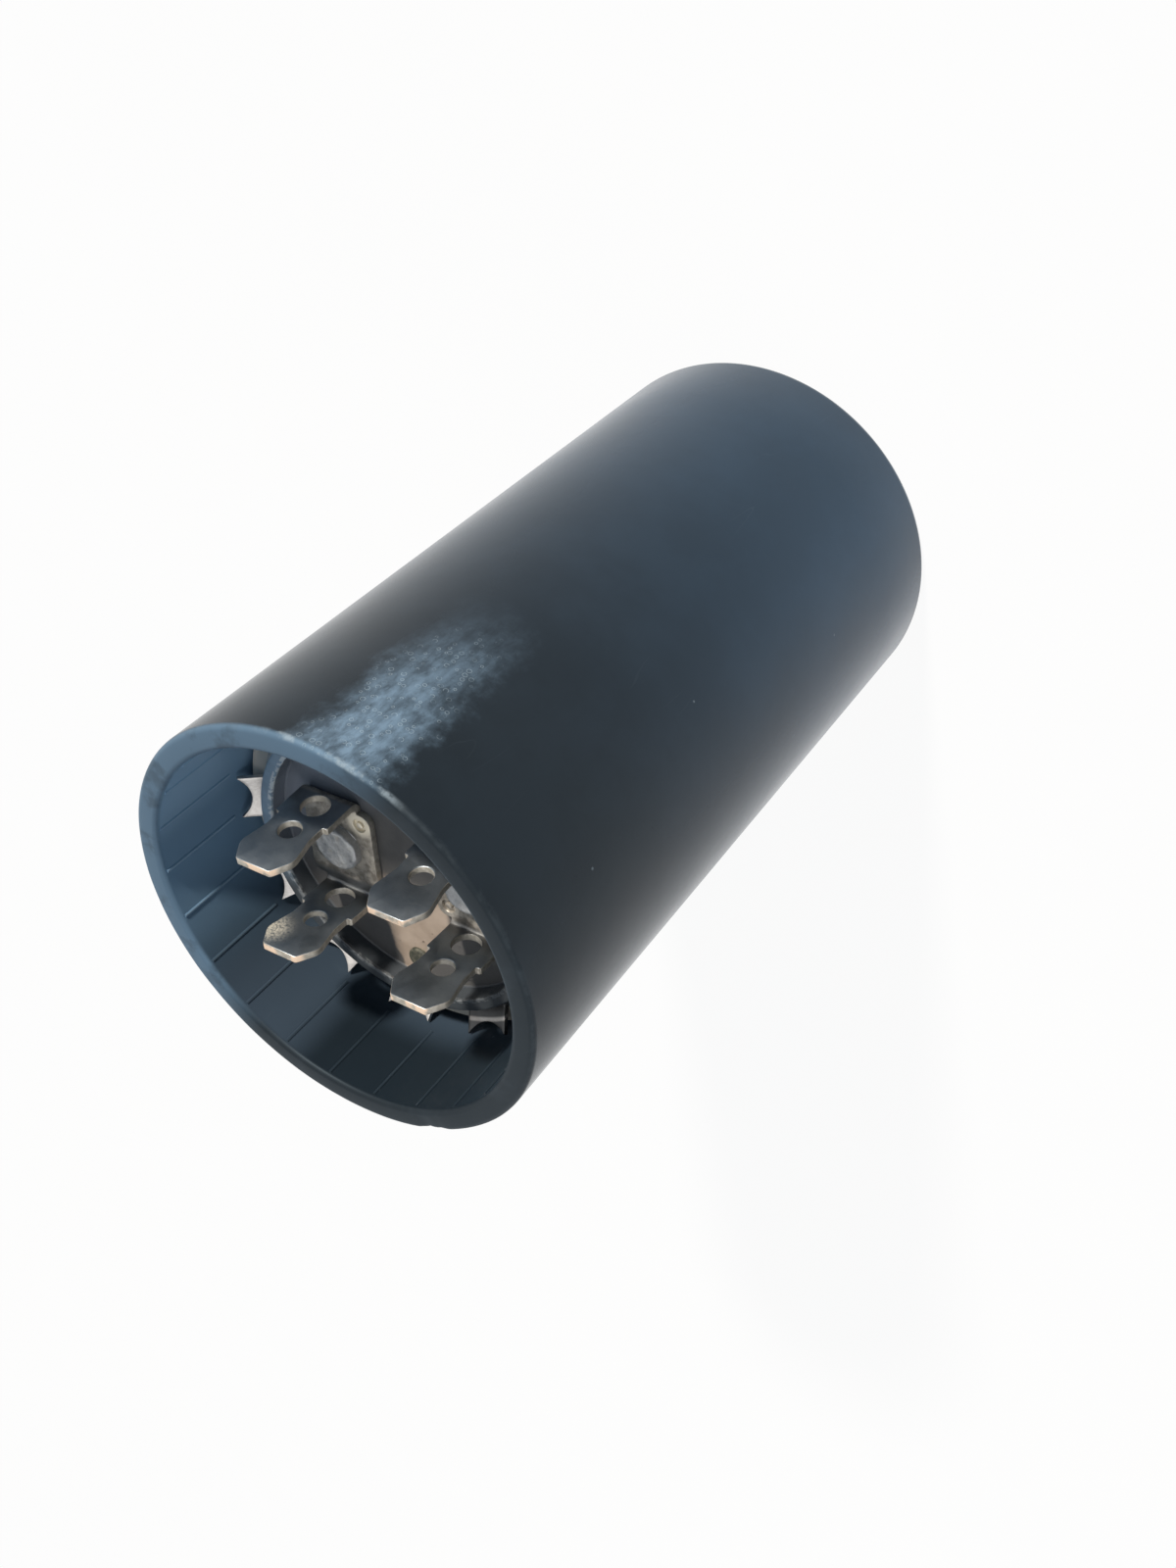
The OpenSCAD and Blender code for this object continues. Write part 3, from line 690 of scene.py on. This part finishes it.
def stamped_sheet(loops):
    """A flat sheet with rounded edges all round; the layer called cut is 1 on sheared edges."""
    shape = bmesh.new()
    cut = shape.verts.layers.float.new("cut")
    tops, bottoms = [], []
    for loop, edge in loops:
        ways = inward(loop)
        levels = [(edge * (1 - math.sin(a)), tab_t - edge * (1 - math.cos(a)), share)
                  for a, share in zip(edge_angles, cut_shares)]
        levels += [(inset, tab_t - height, share) for inset, height, share in reversed(levels)]
        rings = []
        for inset, height, share in levels:
            ring = []
            for point, way in zip(loop, ways):
                vert = shape.verts.new((point[0] + way.x * inset, point[1] + way.y * inset, height))
                vert[cut] = share
                ring.append(vert)
            rings.append(ring)
        joined(shape, rings)
        tops.append(rings[0])
        bottoms.append(rings[-1])
    # the round punch mark in one corner of the strap's top
    rings = [[shape.verts.new((x, y, tab_t - depth))
              for x, y in bow(*mark_at, radius, 0, 360, mark_steps)[:-1]]
             for radius, depth in mark_rings]
    joined(shape, rings)
    shape.faces.new(rings[-1])
    tops.append(rings[0])
    shape.edges.ensure_lookup_table()
    for face_loops in (tops, bottoms):
        edges = [shape.edges.get((ring[i], ring[(i + 1) % len(ring)]))
                 for ring in face_loops for i in range(len(ring))]
        bmesh.ops.triangle_fill(shape, use_beauty=True, edges=edges)
    # rows of points across both bends, for the sheet to fold along
    for sign in (1, -1):
        for step in range(bend_steps + 1):
            fold_y = sign * (bend_y + bend_l * step / bend_steps)
            bmesh.ops.bisect_plane(shape, geom=shape.verts[:] + shape.edges[:] + shape.faces[:],
                                   dist=1e-6, plane_co=(0, fold_y, 0), plane_no=(0, sign, 0))
    bmesh.ops.recalc_face_normals(shape, faces=shape.faces[:])
    return shape


def bent(x, y, height):
    """Where a point of the flat sheet goes once both its ends are bent up."""
    sign, far = (1 if y >= 0 else -1), abs(y)
    radius = bend_r + tab_t - height
    if far <= bend_y:
        return x, y, bend_z - radius
    angle = math.radians(-90) + min(1.0, (far - bend_y) / bend_l) * math.radians(90 + tab_lean)
    along = max(0.0, far - bend_y - bend_l)
    lean = math.radians(tab_lean)
    return (x, sign * (bend_y + radius * math.cos(angle) - along * math.sin(lean)),
            bend_z + radius * math.sin(angle) + along * math.cos(lean))


tin_dark, tin_light = (0.26, 0.29, 0.315), (0.315, 0.345, 0.37)
# the darkest grey here is painted shade in one bend, the gold a painted glint, and the warm edge colour
# painted sunlight
tin_spot, tin_brushed, tin_painted_shade = (0.18, 0.185, 0.19), (0.48, 0.49, 0.49), (0.09, 0.09, 0.09)
strap_dark, strap_light = (0.20, 0.18, 0.155), (0.48, 0.44, 0.385)
glint_gold, glint_tip_spot, glint_mark_spot = (0.84, 0.77, 0.63), (-0.0101, -0.0062, 0.0828), (-0.0050, 0.0031, 0.0737)
shear_dark, shear_light, shear_painted_sun = (0.36, 0.335, 0.285), (0.52, 0.49, 0.435), (0.86, 0.66, 0.50)

tinned, tree, shader = finish("dull tinned sheet")
place = own_place(tree)
at = axes(tree, place)
bloomed = clouds(tree, place, 330, 5.0, 0.6)
brushed = clouds(tree, own_place(tree, (0.2, 1.0, 1.0), (0.0, 0.5, 0.0)), 3600, 4.0, 0.7)
spotted = ramp(tree, clouds(tree, place, 1500, 5.0, 0.7), 0.52, 0.70)
face = shades(tree, bloomed, 0.32, 0.70, tin_dark, tin_light)
face = blended(tree, times(tree, spotted, 0.25), face, tin_spot)
face = blended(tree, times(tree, ramp(tree, brushed, 0.58, 0.72), 0.25), face, tin_brushed)
# the flat of the strap, blotched by the riveting, and painted shade in the bends on one side
flat_part = times(tree, ramp(tree, at["Z"], 0.0744, 0.0739), ramp(tree, at["Y"], -0.0052, -0.0043))
blotched = shades(tree, clouds(tree, place, 800, 5.0, 0.65), 0.36, 0.64, strap_dark, strap_light)
face = blended(tree, flat_part, face, blotched)
painted_bend_shade = times(tree, ramp(tree, at["Y"], -0.0040, -0.0050),
              ramp(tree, at["Z"], 0.0762, 0.0744, 0.0, 0.8))
face = blended(tree, painted_bend_shade, face, tin_painted_shade)
# a painted gold glint on one tab's tip, and a painted highlight round the punch mark in one corner
painted_glint = times(tree, ramp(tree, gap(tree, place, glint_tip_spot), 0.0034, 0.0006),
             ramp(tree, clouds(tree, place, 4200, 4.0, 0.7), 0.34, 0.58, 0.25, 1.0))
painted_glint = reckon(tree, "MAXIMUM", painted_glint, ramp(tree, gap(tree, place, glint_mark_spot), 0.0019, 0.0008))
face = blended(tree, painted_glint, face, glint_gold)
# the sheared edges, with painted warm sunlight on the tips
sheared = put(tree, "ShaderNodeAttribute", attribute_name="cut").outputs["Fac"]
sheared = ramp(tree, sheared, 0.45, 0.85)
shear = shades(tree, clouds(tree, place, 1900, 3.0), 0.35, 0.7, shear_dark, shear_light)
sunlit_tips = times(tree, ramp(tree, at["Z"], 0.0840, 0.0846),
             ramp(tree, clouds(tree, place, 520, 3.0), 0.44, 0.58))
shear = blended(tree, sunlit_tips, shear, shear_painted_sun)
bare_and_glint = reckon(tree, "MAXIMUM", reckon(tree, "MAXIMUM", sheared, flat_part), painted_glint)
tree.links.new(ramp(tree, bare_and_glint, 0.0, 1.0, 1.0, 0.45), shader.inputs["Metallic"])
rough = reckon(tree, "ADD", ramp(tree, bloomed, 0.3, 0.7, 0.38, 0.45), times(tree, sheared, 0.15))
pressed = relief(tree, clouds(tree, place, 1100, 3.0), 0.000018)
dress(tree, shader, blended(tree, sheared, face, shear), rough,
      relief(tree, brushed, 0.000008, pressed))

for side, name in enumerate(("terminal_a", "terminal_b")):
    shape = stamped_sheet(strap_pattern())
    for vert in shape.verts:
        x, y, z = bent(*vert.co)
        x, y = x + terminal_x, y + terminal_y
        vert.co = Vector((-x, -y, z) if side else (x, y, z)) * MM
    mesh = bpy.data.meshes.new(name + "_sheet")
    shape.to_mesh(mesh)
    shape.free()
    mesh.materials.append(tinned)
    terminal = placed(name + "_sheet", mesh, terminal_sharp)
    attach(terminal, "root")
    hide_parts(name)


# The rivets: soft aluminium, one through the middle of each strap, upset by a flat punch, so
# that the heads are a little lopsided and dented.
head_r, head_top, head_edge, strap_top, shank_r = 2.6, 74.8, 0.35, 73.7, 1.3
foot_r, foot_low, foot_high, foot_edge, rivet_steps = 2.2, 66.6, 67.6, 0.3, 72


def punched(radius, height, angle):
    """Dents the head and squeezes it a little out of round."""
    if height < strap_top + 0.02:
        return radius, height
    spot = Vector((radius * math.cos(angle), radius * math.sin(angle), 0.0))
    dent = noise.noise(spot * 0.9 + Vector((3.1, 0.7, 0.0))) * 0.10 + noise.noise(spot * 2.6) * 0.04
    squeeze = 0.965 + 0.035 * math.cos(2 * angle + 0.7)
    return radius * squeeze, min(head_top, height - 0.10 + dent)


rivet_section = ([(0, foot_low)] + bow(foot_r - foot_edge, foot_low + foot_edge, foot_edge, -90, 0)
                 + [(foot_r, foot_high), (shank_r, foot_high), (shank_r, strap_top),
                    (head_r - 0.08, strap_top), (head_r, strap_top + 0.1)]
                 + bow(head_r - head_edge, head_top - head_edge, head_edge, 0, 90)
                 + [(2.0, head_top), (1.75, head_top - 0.02), (1.4, head_top), (1.0, head_top),
                    (0.6, head_top), (0.3, head_top), (0, head_top - 0.08)])
rivets = placed("rivets_pair", turned("rivet", rivet_section, rivet_steps, shape=punched))

rivet_dark, rivet_light, rivet_stain = (0.34, 0.35, 0.36), (0.48, 0.49, 0.50), (0.28, 0.25, 0.21)
upset, tree, shader = finish("upset aluminium")
shader.inputs["Metallic"].default_value = 0.6
place = own_place(tree)
pitted = clouds(tree, place, 2600, 5.0, 0.7)
stained = times(tree, ramp(tree, clouds(tree, place, 900, 4.0), 0.56, 0.72), 0.4)
grey = shades(tree, pitted, 0.34, 0.70, rivet_dark, rivet_light)
dress(tree, shader, blended(tree, stained, grey, rivet_stain),
      ramp(tree, pitted, 0.3, 0.7, 0.40, 0.58), relief(tree, pitted, 0.00003))

pair, given, done = pattern("rivet pair", {"Across": "Float", "Along": "Float", "Finish": "Material"})
first = put(pair, "ShaderNodeCombineXYZ", {"X": given.outputs["Across"], "Y": given.outputs["Along"]})
spots = put(pair, "GeometryNodePoints", {"Count": 2, "Position": first.outputs[0]})
number = put(pair, "GeometryNodeInputIndex").outputs[0]
half_turn = put(pair, "ShaderNodeMath", {0: number, 1: math.pi}, operation="MULTIPLY")
spin = put(pair, "ShaderNodeCombineXYZ", {"Z": half_turn.outputs[0]})
flip = put(pair, "ShaderNodeMath", {0: number, 1: -2.0, 2: 1.0}, operation="MULTIPLY_ADD")
here = put(pair, "GeometryNodeInputPosition")
across = put(pair, "ShaderNodeVectorMath", {0: here.outputs[0], "Scale": flip.outputs[0]},
             operation="SCALE")
moved = put(pair, "GeometryNodeSetPosition",
            {"Geometry": spots.outputs[0], "Position": across.outputs[0]})
hand_over(pair, given, done, copies(pair, moved, given.outputs["Geometry"], spin))
patterned(rivets, pair, {"Across": terminal_x * MM, "Along": terminal_y * MM, "Finish": upset})
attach(rivets, "root")
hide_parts("rivet_a", "rivet_b")


# The stand-in studio: a plain white floor, a low warm key from one side, a softbox and a cool
# sky all round. The floor and the sky look white to the camera and in gloss, and the floor keeps
# a faint shadow.
floor_half, floor_white = 3.0, 0.94
white, paper_dark, paper_light = (1.0, 1.0, 1.0), (0.82, 0.82, 0.82), (0.86, 0.86, 0.86)
sky_colour, sky_strength = (0.70, 0.85, 1.0, 1.0), 0.19
key_colour, key_energy, key_soft, key_turn, key_up = (1.0, 0.93, 0.83), 4.2, 6.0, 98.0, 29.0
panel_colour, panel_long, panel_wide, panel_glow = (1.0, 0.99, 0.98), 0.60, 0.18, 1.8
panel_turn, panel_up, panel_far, panel_aim = -36.0, 39.0, 0.62, Vector((0, 0, 0.08))
panel_along = Vector((0.137, 0.905, 0.400))
camera_right, camera_above = Vector((0.84876, -0.03041, -0.52791)), Vector((-0.30542, 0.78679, -0.53636))
camera_ahead, camera_at = Vector((-0.43166, -0.61648, -0.6585)), Vector((80.289, 102.2, 163.049)) * MM


def shows_white(tree):
    """1 for the rays that see the white background: from the camera, off gloss, through glass."""
    path = put(tree, "ShaderNodeLightPath").outputs
    bounced = reckon(tree, "MAXIMUM", path["Is Glossy Ray"], path["Is Transmission Ray"])
    return reckon(tree, "MAXIMUM", path["Is Camera Ray"], bounced)


def heading(turn, up):
    """The way to a lamp that stands so many degrees round and up."""
    turn, up = math.radians(turn), math.radians(up)
    return Vector((math.cos(turn) * math.cos(up), math.sin(turn) * math.cos(up), math.sin(up)))


def stand(right, above, back, spot):
    """The stand of a lamp or camera, from its three directions and its spot."""
    made = Matrix((right, above, back)).transposed().to_4x4()
    made.translation = spot
    return made


mesh = bpy.data.meshes.new("floor")
mesh.from_pydata([(-floor_half, -floor_half, 0), (floor_half, -floor_half, 0),
                  (floor_half, floor_half, 0), (-floor_half, floor_half, 0)], [], [(0, 1, 2, 3)])
floor = set_down("floor", mesh)
paper, tree, shader = finish("white paper floor")
shader.inputs["Roughness"].default_value = 0.9
shader.inputs["Specular IOR Level"].default_value = 0.0
sheet_grain = clouds(tree, own_place(tree), 40)
tree.links.new(shades(tree, sheet_grain, 0.3, 0.7, paper_dark, paper_light), shader.inputs["Base Color"])
glow = put(tree, "ShaderNodeEmission", {"Color": white, "Strength": 1.0})
seen = times(tree, shows_white(tree), floor_white)
mixer = put(tree, "ShaderNodeMixShader", {0: seen, 1: shader.outputs[0], 2: glow.outputs[0]})
tree.links.new(mixer.outputs[0], tree.nodes["Material Output"].inputs["Surface"])
mesh.materials.append(paper)

sky = bpy.data.worlds.new("sky")
bpy.context.scene.world = sky
sky.use_nodes = True
tree = sky.node_tree
open_sky = tree.nodes["Background"]
open_sky.inputs["Color"].default_value = sky_colour
open_sky.inputs["Strength"].default_value = sky_strength
glow = put(tree, "ShaderNodeBackground", {"Color": white, "Strength": 1.0})
mixer = put(tree, "ShaderNodeMixShader",
            {0: shows_white(tree), 1: open_sky.outputs[0], 2: glow.outputs[0]})
tree.links.new(mixer.outputs[0], tree.nodes["World Output"].inputs["Surface"])

sun = bpy.data.lights.new("key", "SUN")
sun.energy = key_energy
sun.color = key_colour
sun.angle = math.radians(key_soft)
key = set_down("key", sun)
key.rotation_euler = heading(key_turn, key_up).to_track_quat("Z", "Y").to_euler()

panel = bpy.data.lights.new("softbox", "AREA")
panel.shape = "RECTANGLE"
panel.size, panel.size_y = panel_long, panel_wide
panel.energy = panel_glow * math.pi * panel.size * panel.size_y
panel.color = panel_colour
softbox = set_down("softbox", panel)
way = heading(panel_turn, panel_up)
panel_along = (panel_along - way * panel_along.dot(way)).normalized()
softbox.matrix_world = stand(panel_along, way.cross(panel_along), way, way * panel_far + panel_aim)

lens = bpy.data.cameras.new("camera")
lens.lens = 37.098
lens.sensor_width = 36.0
lens.sensor_fit = "AUTO"
lens.clip_start, lens.clip_end = 0.01, 20.0
camera = set_down("camera", lens)
camera.matrix_world = stand(camera_right, camera_above, -camera_ahead, camera_at)
bpy.context.scene.camera = camera
bpy.context.scene.view_settings.view_transform = "Standard"

bpy.context.view_layer.update()
